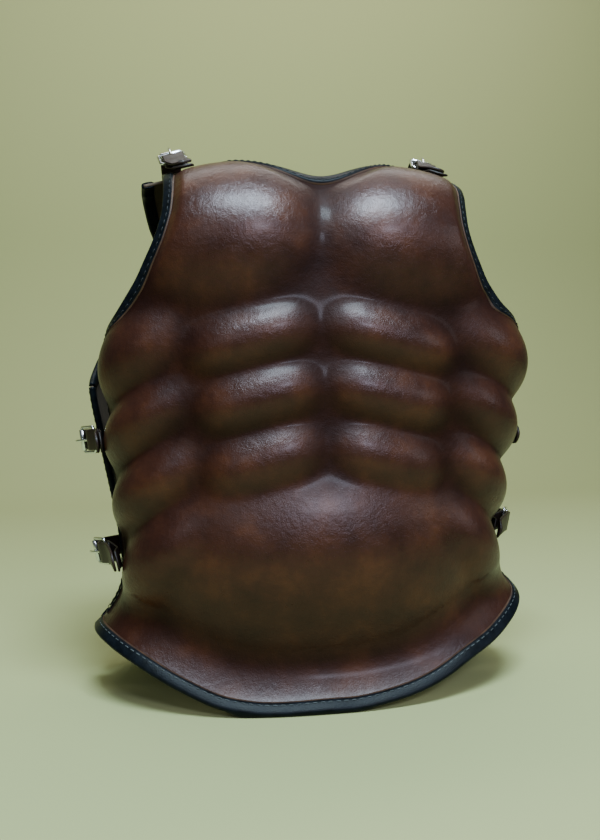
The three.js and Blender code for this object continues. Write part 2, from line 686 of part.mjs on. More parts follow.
// One fastener: a chape on the front plate holding a roller buckle, and a billet strap from
// the back plate that runs under the roller and lies over the chape.
function fastener(strap) {
  const { half, wire, roller, prong } = BUCKLE;
  const local = (along, out) => strap.centre.clone()
    .addScaledVector(strap.along, along).addScaledVector(strap.out, out);
  const turned = (radius, degrees) => {
    const turn = THREE.MathUtils.degToRad(degrees);
    return local(-half - radius * Math.cos(turn), radius * Math.sin(turn));
  };

  // The chape runs up the front plate, round the buckle's near bar and back over itself.
  const layer = CHAPE.thick / 2;
  const fold = layer + GAP / 2;
  const eye = wire + GAP + layer;
  const neck = half + CHAPE.neck;
  const chapePath = [
    ...laidOn(FRONT, strap, strap.chape[0], strap.chape[1], GAP + layer),
    local(-neck, -fold - CHAPE.swell), ...[-90, -135, 180, 135, 90].map((degrees) => turned(eye, degrees)),
    local(-neck, fold + CHAPE.swell), local(-half - CHAPE.fold, fold),
  ];

  // The prong curls round the near bar, rises over the roller and droops at its tip.
  const ring = wire + GAP + prong;
  const over = roller + GAP + prong;
  const prongPath = [
    ...[-120, -90, -60, -30, 0, 30, 60].map((degrees) => turned(ring, degrees)),
    local(-half + 4, ring), local(0, ring),
    local(half - 3, over), local(half + 2, over), local(half + BUCKLE.tip, over - BUCKLE.droop),
  ];

  // The billet leaves the back plate, dips under the roller, comes up through the frame, and
  // lies over the chape's eye, its fold and then the chape on the front plate.
  const strapLayer = STRAP.thick / 2;
  const under = roller + GAP + strapLayer;
  const onEye = eye + layer + GAP + strapLayer;
  const onFold = fold + layer + GAP + strapLayer;
  const onChape = GAP + CHAPE.thick + GAP + strapLayer;
  const billetPath = [
    ...laidOn(BACK, strap, strap.billet[0], strap.billet[1], GAP + strapLayer),
    local(half + 8, -under - 0.8), local(half, -under), local(half - 5, -under + 0.6),
    local(-1, 0.6), local(-half + 4, onEye - 0.8), local(-half, onEye),
    local(-half - 8, onEye - 0.4), local(-half - CHAPE.fold - 3, onFold + 1.6),
    ...laidOn(FRONT, strap, strap.tail[0], strap.tail[1], onChape + STRAP.loose),
  ];

  const billet = ribbonGeometry(billetPath, strap.wide, STRAP.width, STRAP.thick, STRAP.steps);
  const chape = ribbonGeometry(chapePath, strap.wide, CHAPE.width, CHAPE.thick, CHAPE.steps);
  const slotted = cutAway(chape, [slotCutter(strap, local(-half, 0))]);
  const passage = wireGeometry(prongPath, strap.wide, prong + GAP, BUCKLE.sides, false);
  const holed = cutAway(billet, [passage, ...holeCutters(strap, billetPath)]);
  return [
    named(`${strap.name}_chape`, slotted, LEATHER_BROWN),
    named(`${strap.name}_billet`, holed, LEATHER_STRAP),
    named(`${strap.name}_buckle_frame`, frameGeometry(local, strap), STEEL),
    named(`${strap.name}_buckle_roller`, rollerGeometry(local, strap), STEEL),
    named(`${strap.name}_buckle_prong`, prongGeometry(prongPath, strap), STEEL),
  ];
}

function prongGeometry(path, strap) {
  return wireGeometry(path, strap.wide, BUCKLE.prong, BUCKLE.sides, false);
}

// A turned and placed frame from two directions that are square to one another.
function placed(first, second, centre) {
  const third = first.clone().cross(second);
  return new THREE.Matrix4().makeBasis(first, second, third).setPosition(centre);
}

// The slot in the chape's fold that the prong works in.
function slotCutter(strap, centre) {
  const slot = new THREE.BoxGeometry(CHAPE.slotWidth, CHAPE.slotLength, CHAPE.slotLength);
  return slot.applyMatrix4(placed(strap.wide, strap.along, centre));
}

// The billet's spare holes, counted back from its tip.
function holeCutters(strap, path) {
  const route = new THREE.CatmullRomCurve3(path, false, 'centripetal');
  const cutters = [];
  for (let k = 0; k < STRAP.holes; k += 1) {
    const share = 1 - (STRAP.firstHole + k * STRAP.holePitch) / route.getLength();
    const out = route.getTangentAt(share).cross(strap.wide).normalize();
    const hole = new THREE.CylinderGeometry(STRAP.holeRadius, STRAP.holeRadius, STRAP.thick * 3, 8);
    cutters.push(hole.applyMatrix4(placed(strap.wide, out, route.getPointAt(share))));
  }
  return cutters;
}

// The buckle's frame: a wire bent round an oblong with small round corners.
function frameGeometry(local, strap) {
  const halfWide = BUCKLE.inside / 2 + BUCKLE.wire;
  const { half, corner } = BUCKLE;
  const points = [];
  for (const [a, w, start] of [[1, 1, 90], [1, -1, 0], [-1, -1, -90], [-1, 1, -180]]) {
    for (let k = 0; k <= 2; k += 1) {
      const turn = THREE.MathUtils.degToRad(start - k * 45);
      const along = a * (half - corner) + corner * Math.cos(turn);
      const wide = w * (halfWide - corner) + corner * Math.sin(turn);
      points.push(local(along, 0).addScaledVector(strap.wide, wide));
    }
  }
  return wireGeometry(points, strap.out, BUCKLE.wire, BUCKLE.sides, true);
}

function rollerGeometry(local, strap) {
  const { roller, bore } = BUCKLE;
  const reach = BUCKLE.inside / 2 - BUCKLE.endPlay;
  const profile = [[bore, -reach], [roller, -reach], [roller, reach], [bore, reach], [bore, -reach]];
  const tube = new THREE.LatheGeometry(profile.map(([x, y]) => new THREE.Vector2(x, y)), 12);
  tube.applyMatrix4(placed(strap.along, strap.wide, local(BUCKLE.half, 0)));
  const welded = new THREE.BufferGeometry();
  welded.setAttribute('position', tube.attributes.position);
  welded.setIndex(tube.index);
  return mergeVertices(welded, 1e-4);
}

// The three directions of a strap: along it from front to back, across its width, and out.
function strapAxes(buckle, sign) {
  const lean = THREE.MathUtils.degToRad(buckle.lean);
  const turn = THREE.MathUtils.degToRad(buckle.turn);
  const level = buckle.name === 'shoulder';
  const wide = level
    ? new THREE.Vector3(Math.cos(turn), 0, -sign * Math.sin(turn))
    : new THREE.Vector3(sign * Math.sin(turn), 0, Math.cos(turn));
  const along = level
    ? new THREE.Vector3(0, Math.cos(lean), Math.sin(lean))
    : new THREE.Vector3(sign * Math.sin(lean), Math.cos(lean), 0);
  along.addScaledVector(wide, -along.dot(wide)).normalize();
  const out = wide.clone().cross(along);
  if (!level) out.multiplyScalar(-sign);
  return { wide, along, out };
}

// A strap on one side of the body, with the line on a plate that its width is traced along.
function strapOf(buckle) {
  const sign = buckle.hand === 'left' ? 1 : -1;
  const [x, y, z] = buckle.centre;
  const overShoulder = (plate, offset, share) => mouldedPoint(
    plate, (x + offset) * SHOULDER_AROUND, plate.shoulderTop - TRACED * share,
  );
  const roundSide = (plate, offset, share) => mouldedPoint(
    plate, sign * (QUARTER - TRACED * share), z + offset,
  );
  return {
    ...buckle,
    ...strapAxes(buckle, sign),
    name: `${buckle.name}_${buckle.hand}`,
    centre: new THREE.Vector3(x, y, z),
    trace: buckle.name === 'shoulder' ? overShoulder : roundSide,
  };
}

// ---------------------------------------------------------------- the cuirass

const cuirass = new THREE.Group();
for (const [name, plate] of [['front', FRONT], ['back', BACK]]) {
  const net = plateNet(plate);
  cuirass.add(named(`${name}_plate`, shellGeometry(net, plate.facing), LEATHER_BROWN));
  cuirass.add(...bindingsOf(plate, name, net));
}
for (const buckle of BUCKLES) cuirass.add(...fastener(strapOf(buckle)));
cuirass.position.copy(SHIFT);

export default cuirass;
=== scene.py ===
"""The looks of a moulded leather muscle cuirass: plates, bindings, stitches, straps and buckles.

The CAD is in metres with +Z up, the front facing -Y and +X towards the wearer's left. The
surfaces here are worked out in millimetres, from the same sizes as the CAD.
"""

import math
from collections import namedtuple

import bpy
import numpy as np
from mathutils import Matrix, Vector


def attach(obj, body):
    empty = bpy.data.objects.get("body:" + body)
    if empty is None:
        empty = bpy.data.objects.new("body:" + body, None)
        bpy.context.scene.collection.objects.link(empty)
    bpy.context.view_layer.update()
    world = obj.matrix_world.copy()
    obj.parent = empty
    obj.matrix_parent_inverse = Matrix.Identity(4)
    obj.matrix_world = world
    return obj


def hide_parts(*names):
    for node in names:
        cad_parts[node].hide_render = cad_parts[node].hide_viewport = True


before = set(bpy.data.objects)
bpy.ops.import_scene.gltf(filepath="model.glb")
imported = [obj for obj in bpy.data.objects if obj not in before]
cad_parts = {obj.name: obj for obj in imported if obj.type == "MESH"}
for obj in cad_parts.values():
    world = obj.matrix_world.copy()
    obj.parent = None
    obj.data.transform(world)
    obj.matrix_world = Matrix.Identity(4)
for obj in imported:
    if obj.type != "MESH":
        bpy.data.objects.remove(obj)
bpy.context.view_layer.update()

# ------------------------------------------------------------------ driving sizes, mm

SHIFT = np.array([-1.75, -3.9, 1.5])      # from the plates' own zero to the row's origin
LEATHER = 3.0                             # thickness of the moulded plates
GAP = 0.55                                # clearance between leather pieces that touch

# The rims' folds are pressed flat on the floor, which is this far below the plates' own zero.
# The flat stretch blends into the rest over a length, and only the lowest part of a fold sinks.
FOOT = {"below": 1.5, "blend": 20.0, "sinks": 3.0}

# A binding: its thickness, and how far in from the plate's edge its shoulder, its own edge and
# the scraped margin beyond it lie. It lies on a bed of clearance, and is puffed behind its edge.
BINDING = {
    "thick": 1.2, "neck_thick": 2.4, "shoulder": 8.6, "flap": 9.0, "margin": 10.3, "bed": GAP * 0.4,
    "puff": 0.35, "margin_lift": 0.12, "hidden_lift": 0.05, "fold_reach": 0.8,
}
BINDING_STATIONS = (BINDING["margin"], BINDING["flap"], BINDING["shoulder"], 6.5, 4.0, 2.0, 0.8, 0.0)
FOLD_DEGREES = (22, 45, 68, 90, 112, 135, 158)

# Each bound edge: the shares of it between which the binding runs, and its number of rings.
BOUND_EDGES = {
    "rim": {"start": 0.0, "end": 1.0, "count": 260},
    "neck": {"start": 0.0, "end": 1.0, "count": 120},
    "side": {"start": 0.045, "end": 0.998, "count": 100},
    "armhole": {"start": 0.002, "end": 1.0, "count": 160},
}

# A running stitch, and the arc of one thread: share of its length, height in its own diameters.
STITCH = {
    "pitch": 7.0, "long": 4.4, "radius": 0.42, "in_from_edge": 2.6, "proud": 0.18, "sides": 6,
    "start": 0.015, "end": 0.985, "samples": 900,
}
STITCH_ARC = ((0.0, -0.5), (0.12, 0.25), (0.5, 0.5), (0.88, 0.25), (1.0, -0.5))

# The plan of the torso: a rounded oblong.
PLAN = {"half_width": 200.0, "depth": 110.0, "squareness": 2.4, "steps": 720}

# The billet strap, how loosely its tail lies, and its spare holes, counted back from its tip.
STRAP = {
    "width": 20.0, "thick": 2.4, "round": 1.0, "loose": 0.9, "hole_radius": 1.8, "hole_proud": 0.03,
    "holes": (9.0, 73.0), "rings": 110,
}
# The chape, how far its fold lies over itself, and where and how far its eye swells.
CHAPE = {"width": 19.0, "thick": 2.0, "fold": 11.0, "neck": 6.0, "swell": 0.6, "rings": 60}
# The buckle: half the distance between its bars' middles, the room between its sides, and the
# radii of its corners, wire, roller, roller's bore and prong. The roller's ends are rolled in.
BUCKLE = {
    "half": 11.0, "inside": 21.6, "corner": 3.0, "wire": 1.5, "roller": 2.7, "bore": 1.9,
    "end_play": 0.6, "lip": 0.3, "lip_long": 0.4, "prong": 1.2, "tip": 6.0, "droop": 0.6,
}

# How finely round bars, smooth paths and holes are drawn.
SIDES = {"frame": 16, "prong": 12, "roller": 32, "hole": 20}
PATH_STEPS = {"between": 24, "prong": 60, "holes": 399}


def table(columns, *rows):
    """A table with named columns, which is read along the first of them."""
    return dict(zip(columns.split(), np.array(rows, float).T))


# Sections from the rim to the shoulder: height of the section, its half width, how far it
# reaches in front of (or behind) the side seams, and how far it sways to the wearer's left.
FRONT_SECTIONS = table(
    "up height half_width depth sway",
    (0, 0, 182, 92, 2), (60, 60, 181, 93, 0), (140, 140, 182, 104, -2),
    (230, 230, 193, 101, 2), (310, 310, 203, 97, 8), (380, 380, 203, 92, 7),
    (430, 430, 195, 86, 5), (465, 460, 188, 70, 5), (500, 485, 182, 47, 5),
    (530, 499, 177, 20, 5), (550, 503, 175, 0, 5),
)
BACK_SECTIONS = table(
    "up height half_width depth sway",
    (0, 0, 181, 92, 0), (60, 60, 182, 90, 0), (140, 140, 187, 92, 0),
    (230, 230, 203, 102, 0), (290, 290, 213, 108, 0), (380, 378, 207, 108, 0),
    (440, 436, 200, 94, 0), (485, 474, 194, 68, 0), (520, 494, 188, 38, 0),
    (550, 502, 184, 6, 0), (560, 503, 183, -6, 0),
)

# How high the rim climbs from the middle towards each side seam.
FRONT_RIM_RIGHT = table(
    "around up",
    (0, 3), (75, 4), (95, 8), (135, 25), (180, 46), (211, 56), (256, 59),
)
FRONT_RIM_LEFT = table(
    "around up",
    (0, 3), (15, 3), (45, 7), (72, 13), (95, 21), (127, 36), (155, 47), (184, 60), (222, 73), (256, 81),
)
BACK_RIM = table("around up", (0, 3), (55, 3), (105, 11), (150, 27), (200, 50), (256, 62))

# The armholes: how far round the plate reaches at each height above the side seam.
FRONT_ARMHOLE_RIGHT = table(
    "up around",
    (300, 256), (318, 252), (336, 234), (350, 210), (373, 185), (399, 168), (420, 158),
    (440, 154), (456, 155), (484, 159), (545, 170),
)
FRONT_ARMHOLE_LEFT = table(
    "up around",
    (300, 256), (320, 253), (336, 238), (347, 214), (360, 181), (374, 164), (401, 148),
    (430, 142), (450, 146), (479, 156), (545, 170),
)
BACK_ARMHOLE = table(
    "up around",
    (288, 256), (297, 238), (320, 212), (350, 190), (380, 171), (410, 157), (435, 150),
    (449, 152), (462, 158), (485, 166), (520, 176), (560, 182),
)

# How far a plate's middle line wanders to the wearer's left on the way up.
FRONT_MIDLINE = table(
    "up shift",
    (0, 0), (118, 0), (221, -2), (278, -7), (331, -12), (380, -10), (440, -4), (500, -2),
)
BACK_MIDLINE = table("up shift", (0, 0), (500, 0))

# The moulded muscles. Each is a cushion of the given height, raised on both sides of the
# middle line (or once, on it), with half lengths along and across its own axis, which tilts
# in degrees. The greater `ends` and `sides`, the flatter its top before it falls away.
Muscle = namedtuple("Muscle", "around up along across tilt height ends sides")
FRONT_MUSCLES = {
    "chest": Muscle(94, 441, 88, 84, 0, 19, 2.6, 2.3),
    "abdomen_1": Muscle(64, 328, 62, 27, -14.5, 13, 3, 2),
    "abdomen_2": Muscle(61, 275, 60, 27, -14.5, 13, 3, 2),
    "abdomen_3": Muscle(60, 218, 59, 29, -15, 13, 3, 2),
    "rib_1": Muscle(192, 313, 70, 36, -26, 16, 2.1, 2),
    "rib_2": Muscle(188, 251, 70, 29, -28, 17, 2.1, 2),
    "rib_3": Muscle(182, 193, 70, 30, -30, 17, 2.1, 2),
    "hip": Muscle(168, 130, 72, 40, -36, 21, 2, 1.9),
    "belly": Muscle(0, 122, 192, 88, 0, 22, 2.4, 1.9),
}
BACK_MUSCLES = {
    "shoulder_blade": Muscle(84, 420, 76, 66, -12, 11, 2.6, 2.4),
    "flank": Muscle(140, 292, 84, 74, 38, 9, 2.4, 2.2),
    "loin": Muscle(40, 205, 32, 122, 0, 10, 2.6, 2.2),
}
VALLEY = 3.4                                  # softness of the valleys between muscles
FAR_BELOW = -25.0                             # valleys below the skin where a muscle has no effect
MARGIN = {"width": 24.0, "keeps": 0.25}       # the moulding fades out towards armhole and seam
NECK_MARGIN = {"width": 30.0, "keeps": 0.5}   # and towards the neck and shoulder

# The shoulders slope down outwards: the slope sets in above a height and beyond a width.
SHOULDER = {
    "from": 430.0, "over": 100.0, "start": 70.0, "reach": 80.0, "drop": 15.0,
    "ease_up": 1.5, "ease_out": 1.3,
}
SIDE_ROWS = 0.52                              # share of a plate's rows that lie below its armholes

# The leather counts as polished, and its colour is spared the painted shade, wholly where the moulding
# stands this high, and in this part on the flared rim.
POLISH_AND_SHADE = {"height": 13.0, "rim": 0.7}

# The plates. A net of columns and rows covers each. Its side seam stands this far behind the
# front's, its neck's edge rises to the shoulder at a share of its width and is bound over
# another, and its rim flares out this far over this reach.
FRONT = {
    "name": "front", "facing": -1.0, "seam": 0.0, "seam_top": 300.0, "columns": 170, "rows": 190,
    "sections": FRONT_SECTIONS, "rim_right": FRONT_RIM_RIGHT, "rim_left": FRONT_RIM_LEFT,
    "armhole_right": FRONT_ARMHOLE_RIGHT, "armhole_left": FRONT_ARMHOLE_LEFT, "foot": (-75.0, 15.0),
    "neck_middle": 489.0, "neck_end": 0.78, "neck_bound": 0.6, "shoulder_top": 545.0,
    "flare": (30.0, 52.0), "muscles": FRONT_MUSCLES, "midline": FRONT_MIDLINE,
}
BACK = {
    "name": "back", "facing": 1.0, "seam": 14.0, "seam_top": 288.0, "columns": 110, "rows": 120,
    "sections": BACK_SECTIONS, "rim_right": BACK_RIM, "rim_left": BACK_RIM,
    "armhole_right": BACK_ARMHOLE, "armhole_left": BACK_ARMHOLE, "foot": (-55.0, 55.0),
    "neck_middle": 497.0, "neck_end": 0.7, "neck_bound": 0.6, "shoulder_top": 553.0,
    "flare": (24.0, 50.0), "muscles": BACK_MUSCLES, "midline": BACK_MIDLINE,
}

# The fasteners: where the middle of the buckle stands, how far it leans out of the plate, how
# the strap's width turns from upright (or from level, on the shoulder), and the stretches of
# the straps that lie on the plates, as depths behind the front's seam.
SHOULDER_STRAP = {"lean": 33, "turn": 14, "chape": (-40, -28), "tail": (-33, -38), "billet": (62, 38)}
BUCKLES = {
    "upper_side_right": {"centre": (-214.5, 5, 237), "lean": 34, "turn": 7,
                         "chape": (-36, -22), "tail": (-33, -38), "billet": (76, 48)},
    "upper_side_left": {"centre": (218, 11, 237), "lean": 34, "turn": 7,
                        "chape": (-30, -16), "tail": (-27, -32), "billet": (82, 54)},
    "lower_side_right": {"centre": (-204.5, 2, 129), "lean": 30, "turn": 12,
                         "chape": (-48, -27), "tail": (-44, -50), "billet": (68, 42)},
    "lower_side_left": {"centre": (208, 6, 143), "lean": 30, "turn": 12,
                        "chape": (-36, -18), "tail": (-38, -44), "billet": (74, 48)},
    "shoulder_right": {"centre": (-130, -1, 508), **SHOULDER_STRAP},
    "shoulder_left": {"centre": (122, 1, 507), **SHOULDER_STRAP},
}
STEP = 7.0                # spacing of a strap's guiding points where it lies on a plate
BED = 1.0                 # extra clearance that beds a strap on the CAD plates' facets
TRACED = 110.0            # length of plate that a strap may lie on, in from its edge
SAMPLES = 240             # steps that trace that length
SPAN = 3                  # samples to either side that give the plate's direction
SHOULDER_AROUND = 1.08    # length around the plate over distance out, on the shoulder

# ------------------------------------------------------------------ the plates' surface


def curve(rows, column, at):
    """A smooth curve through a table's rows: the named column against the first one."""
    x, y = next(iter(rows.values())), rows[column]
    h = np.diff(x)
    slope = np.diff(y) / h
    inner = (slope[:-1] * h[1:] + slope[1:] * h[:-1]) / (h[1:] + h[:-1])
    tangent = np.concatenate([[slope[0]], inner, [slope[-1]]])
    at = np.clip(at, x[0], x[-1])
    i = np.clip(np.searchsorted(x, at, side="right") - 1, 0, len(x) - 2)
    k = (at - x[i]) / h[i]
    return ((1 + 2 * k) * (1 - k) ** 2 * y[i] + k * (1 - k) ** 2 * h[i] * tangent[i]
            + k * k * (3 - 2 * k) * y[i + 1] - k * k * (1 - k) * h[i] * tangent[i + 1])


def smooth_step(value):
    """A smooth rise from 0 to 1 as a value does the same."""
    k = np.clip(value, 0, 1)
    return k * k * (3 - 2 * k)


def unit(vectors):
    """Vectors of length 1 in the same directions."""
    return vectors / np.linalg.norm(vectors, axis=-1, keepdims=True)


def plan_point(angle):
    """The plan's outline at an angle from the front: 1 across at the side, 1 deep at the middle."""
    sine, cosine = np.sin(angle), np.cos(angle)
    n = PLAN["squareness"]
    reach = (np.abs(sine) ** n + np.abs(cosine) ** n) ** (-1 / n)
    return reach * sine, reach * cosine


PLAN_ANGLES = np.linspace(0, math.pi / 2, PLAN["steps"] + 1)
_across, _deep = plan_point(PLAN_ANGLES)
_runs = np.hypot(np.diff(_across) * PLAN["half_width"], np.diff(_deep) * PLAN["depth"])
PLAN_LENGTHS = np.concatenate([[0], np.cumsum(_runs)])
QUARTER = PLAN_LENGTHS[-1]


def rim_up(plate, around):
    """How high the rim lies."""
    left, right = (curve(plate[rim], "up", np.abs(around)) for rim in ("rim_left", "rim_right"))
    return np.where(around > 0, left, right)


def edge_around(plate, up, side):
    """How far round the plate reaches; side is below zero on the wearer's right."""
    left, right = (curve(plate[hole], "around", up) for hole in ("armhole_left", "armhole_right"))
    return np.where(up <= plate["seam_top"], QUARTER, np.where(side > 0, left, right))


def top_up(plate, across):
    """How high the neck's edge and the shoulders lie, at a share of the width from the middle."""
    rise = smooth_step(np.abs(across) / plate["neck_end"])
    return plate["neck_middle"] + (plate["shoulder_top"] - plate["neck_middle"]) * rise


def shoulder_drop(x, up):
    """How far the shoulder slopes down at a distance from the middle."""
    rise = np.clip((up - SHOULDER["from"]) / SHOULDER["over"], 0, 1) ** SHOULDER["ease_up"]
    outward = np.maximum(0, (np.abs(x) - SHOULDER["start"]) / SHOULDER["reach"])
    return SHOULDER["drop"] * rise * outward ** SHOULDER["ease_out"]


def torso_point(plate, around, up):
    """The plain torso under the muscles, with its rim flared out."""
    angle = np.sign(around) * np.interp(np.abs(around), PLAN_LENGTHS, PLAN_ANGLES)
    across, deep = plan_point(angle)
    height, half_width, depth, sway = (
        curve(plate["sections"], column, up) for column in ("height", "half_width", "depth", "sway")
    )
    out, reach = plate["flare"]
    flare = out * np.clip(1 - (up - rim_up(plate, around)) / reach, 0, 1) ** 2
    x = half_width * across + sway
    y = plate["seam"] + plate["facing"] * (depth * deep + flare * np.cos(angle))
    return np.stack([x + flare * np.sin(angle), y, height - shoulder_drop(x, up)], -1)


def cushion(muscle, around, up):
    """A muscle's height over the torso: greatest in its middle, below zero outside it."""
    tilt = math.radians(muscle.tilt)
    cosine, sine = math.cos(tilt), math.sin(tilt)
    away, over = around - muscle.around, up - muscle.up
    along = (away * cosine + over * sine) / muscle.along
    across = (-away * sine + over * cosine) / muscle.across
    return muscle.height * (1 - np.abs(along) ** muscle.ends - np.abs(across) ** muscle.sides)


def relief(plate, around, up):
    """How far the moulding stands out of the torso: the cushions, blended where they meet."""
    shifted = around - curve(plate["midline"], "shift", up) * (1 - (around / QUARTER) ** 2)
    total = np.ones_like(shifted)
    for muscle in plate["muscles"].values():
        for side in ((1,) if muscle.around == 0 else (1, -1)):
            height = cushion(muscle, side * shifted, up)
            total += np.exp(np.maximum(height / VALLEY, FAR_BELOW))
    edge = edge_around(plate, up, around)
    to_edge, to_top = edge - np.abs(around), top_up(plate, around / edge) - up
    return VALLEY * np.log(total) * faded(to_edge, MARGIN) * faded(to_top, NECK_MARGIN)


def faded(distance, margin):
    """The share of the moulding that is left at a distance in from an edge."""
    return margin["keeps"] + (1 - margin["keeps"]) * smooth_step(distance / margin["width"])


def normal_of(plate, surface, around, up):
    """The outward normal of a surface. The steps it is measured over stay on the plate."""
    step = 0.5
    before, after = np.maximum(around - step, -QUARTER), np.minimum(around + step, QUARTER)
    level = np.maximum(up, 0)
    across = surface(plate, after, level) - surface(plate, before, level)
    upward = surface(plate, around, level + step) - surface(plate, around, np.maximum(level - step, 0))
    return unit(np.cross(across, upward) * -plate["facing"])


def moulded_point(plate, around, up):
    """The plate's outer surface, with its muscles."""
    normal = normal_of(plate, torso_point, around, up)
    return torso_point(plate, around, up) + normal * relief(plate, around, up)[..., None]


def plate_net(plate):
    """A fine net over a plate: its (around, up), outer points and outward normals."""
    columns, rows = plate["columns"], plate["rows"]
    side_row = round(rows * SIDE_ROWS)
    across = np.linspace(-1, 1, columns + 1)
    rim = rim_up(plate, across * QUARTER)
    top = top_up(plate, across)
    lower = np.linspace(0, 1, side_row + 1)[:, None]
    upper = np.linspace(0, 1, rows - side_row + 1)[1:, None]
    up = np.concatenate([
        rim + (plate["seam_top"] - rim) * lower,
        plate["seam_top"] + (top - plate["seam_top"]) * upper,
    ])
    around = across * edge_around(plate, up, across)
    return around, up, moulded_point(plate, around, up), normal_of(plate, moulded_point, around, up)


# ------------------------------------------------------------------ meshes


def mesh_object(name, points, faces, materials, face_slots=None, smooth=True):
    """A mesh from points in the plates' own millimetres."""
    mesh = bpy.data.meshes.new(name)
    verts = (np.asarray(points).reshape(-1, 3) + SHIFT) / 1000
    mesh.from_pydata(verts.tolist(), [], [tuple(f) for f in faces])
    for material in materials:
        mesh.materials.append(material)
    if face_slots is not None:
        mesh.polygons.foreach_set("material_index", np.asarray(face_slots, np.int32))
    if smooth:
        mesh.polygons.foreach_set("use_smooth", np.ones(len(mesh.polygons), bool))
    mesh.update()
    obj = bpy.data.objects.new(name, mesh)
    bpy.context.scene.collection.objects.link(obj)
    return obj


def grid_faces(rows, columns, start=0, flip=False, wrap=False):
    """Quads between neighbouring rings of a grid of points."""
    faces = []
    last = columns if wrap else columns - 1
    for j in range(rows - 1):
        for i in range(last):
            k = (i + 1) % columns
            a, b = start + j * columns + i, start + j * columns + k
            c, d = b + columns, a + columns
            faces.append((a, d, c, b) if flip else (a, b, c, d))
    return faces


def swept(rings, closed=False):
    """Points and faces of a tube through rings, with flat ends unless it is closed."""
    rings = np.asarray(rings)
    count, size = rings.shape[:2]
    if closed:
        rings = np.concatenate([rings, rings[:1]])
        count += 1
    faces = grid_faces(count, size, wrap=True)
    if closed:
        body = (count - 1) * size
        faces = [tuple(v % body for v in f) for f in faces]
        return rings[:-1].reshape(-1, 3), faces
    faces.append(tuple(reversed(range(size))))
    faces.append(tuple(range((count - 1) * size, count * size)))
    return rings.reshape(-1, 3), faces


def join_swept(parts):
    """Several point-and-face sets as one."""
    points, faces, start = [], [], 0
    for some, their in parts:
        points.append(some)
        faces += [tuple(v + start for v in f) for f in their]
        start += len(some)
    return np.concatenate(points), faces


def finished(obj, slot, *nodes):
    """Puts a piece in place of its CAD nodes."""
    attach(obj, "root")
    if nodes:
        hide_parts(*nodes)


# ------------------------------------------------------------------ materials


class Paint:
    """A material being made: its Principled shader and the nodes that feed it."""

    def __init__(self, name):
        self.material = bpy.data.materials.new(name)
        self.material.use_nodes = True
        tree = self.material.node_tree
        self.nodes, self.links = tree.nodes, tree.links
        self.shader = tree.nodes["Principled BSDF"]

    def feed(self, node, inputs):
        """Sets each named input of a node to a value, or links it to another node's output."""
        for socket, value in inputs.items():
            if isinstance(value, bpy.types.NodeSocket):
                self.links.new(value, node.inputs[socket])
            else:
                node.inputs[socket].default_value = value
        return node

    def shaded(self, inputs):
        """The material, once its shader's inputs are fed."""
        self.feed(self.shader, inputs)
        return self.material

    def attribute(self, name):
        node = self.nodes.new("ShaderNodeAttribute")
        node.attribute_name = name
        return node.outputs["Fac"]

    def noise(self, scale, detail=3.0, rough=0.6):
        coords = self.nodes.new("ShaderNodeTexCoord").outputs["Object"]
        node = self.nodes.new("ShaderNodeTexNoise")
        inputs = {"Vector": coords, "Scale": scale, "Detail": detail, "Roughness": rough}
        return self.feed(node, inputs).outputs["Fac"]

    def ramp(self, value, *stops):
        """Colours at positions along a value."""
        node = self.nodes.new("ShaderNodeValToRGB")
        elements = node.color_ramp.elements
        while len(elements) < len(stops):
            elements.new(0.5)
        for element, (position, color) in zip(elements, stops):
            element.position = position
            element.color = (*color, 1.0)
        return self.feed(node, {"Fac": value}).outputs["Color"]

    def spread(self, value, low, high):
        """A value between 0 and 1, spread from low to high."""
        node = self.nodes.new("ShaderNodeMapRange")
        return self.feed(node, {"Value": value, "To Min": low, "To Max": high}).outputs["Result"]

    def multiplied(self, first, second):
        node = self.nodes.new("ShaderNodeMix")
        node.data_type = "RGBA"
        node.blend_type = "MULTIPLY"
        return self.feed(node, {"Factor": 1.0, "A": first, "B": second}).outputs["Result"]

    def summed(self, first, second):
        node = self.nodes.new("ShaderNodeMath")
        node.operation = "ADD"
        return self.feed(node, {0: first, 1: second}).outputs[0]

    def bump(self, height, strength, distance, under=None):
        """A bumped normal, on top of another one if that is given."""
        inputs = {"Height": height, "Strength": strength, "Distance": distance}
        if under is not None:
            inputs["Normal"] = under
        return self.feed(self.nodes.new("ShaderNodeBump"), inputs).outputs["Normal"]


def outer_leather():
    """Dark brown leather, waxed, with polished crests. Its colour carries painted shade: near black in the
    hollows where the moulding stands low, lighter and redder on the crests and, in part, on the flared rim.
    """
    paint = Paint("outer_leather")
    polish_and_shade = paint.attribute("polish_and_shade")
    dye = paint.ramp(
        paint.noise(26.0, detail=4.0),
        (0.30, (0.021, 0.0062, 0.0036)), (0.52, (0.037, 0.0113, 0.0058)), (0.75, (0.068, 0.0215, 0.0086)),
    )
    # Painted shade: the colour is multiplied down to 0.4 where the moulding stands low, so the hollows look
    # shaded, and is left whole on the crests.
    crest = paint.ramp(
        polish_and_shade, (0.0, (0.40, 0.37, 0.40)), (0.40, (0.72, 0.68, 0.68)), (1.0, (1.0, 1.0, 1.0)),
    )
    polish = paint.spread(paint.noise(60.0, detail=5.0, rough=0.65), low=0.18, high=0.46)
    dullness = paint.spread(polish_and_shade, low=0.18, high=0.0)
    dimples = paint.bump(paint.noise(170.0), strength=0.26, distance=0.002)
    return paint.shaded({
        "Base Color": paint.multiplied(dye, crest),
        "Roughness": paint.summed(polish, dullness),
        "Specular IOR Level": paint.spread(polish_and_shade, low=0.10, high=0.33),
        "Specular Tint": (1.0, 0.84, 0.88, 1.0),
        "Normal": paint.bump(paint.noise(900.0), strength=0.42, distance=0.0006, under=dimples),
        "Coat Weight": 0.06,
        "Coat Roughness": 0.18,
    })


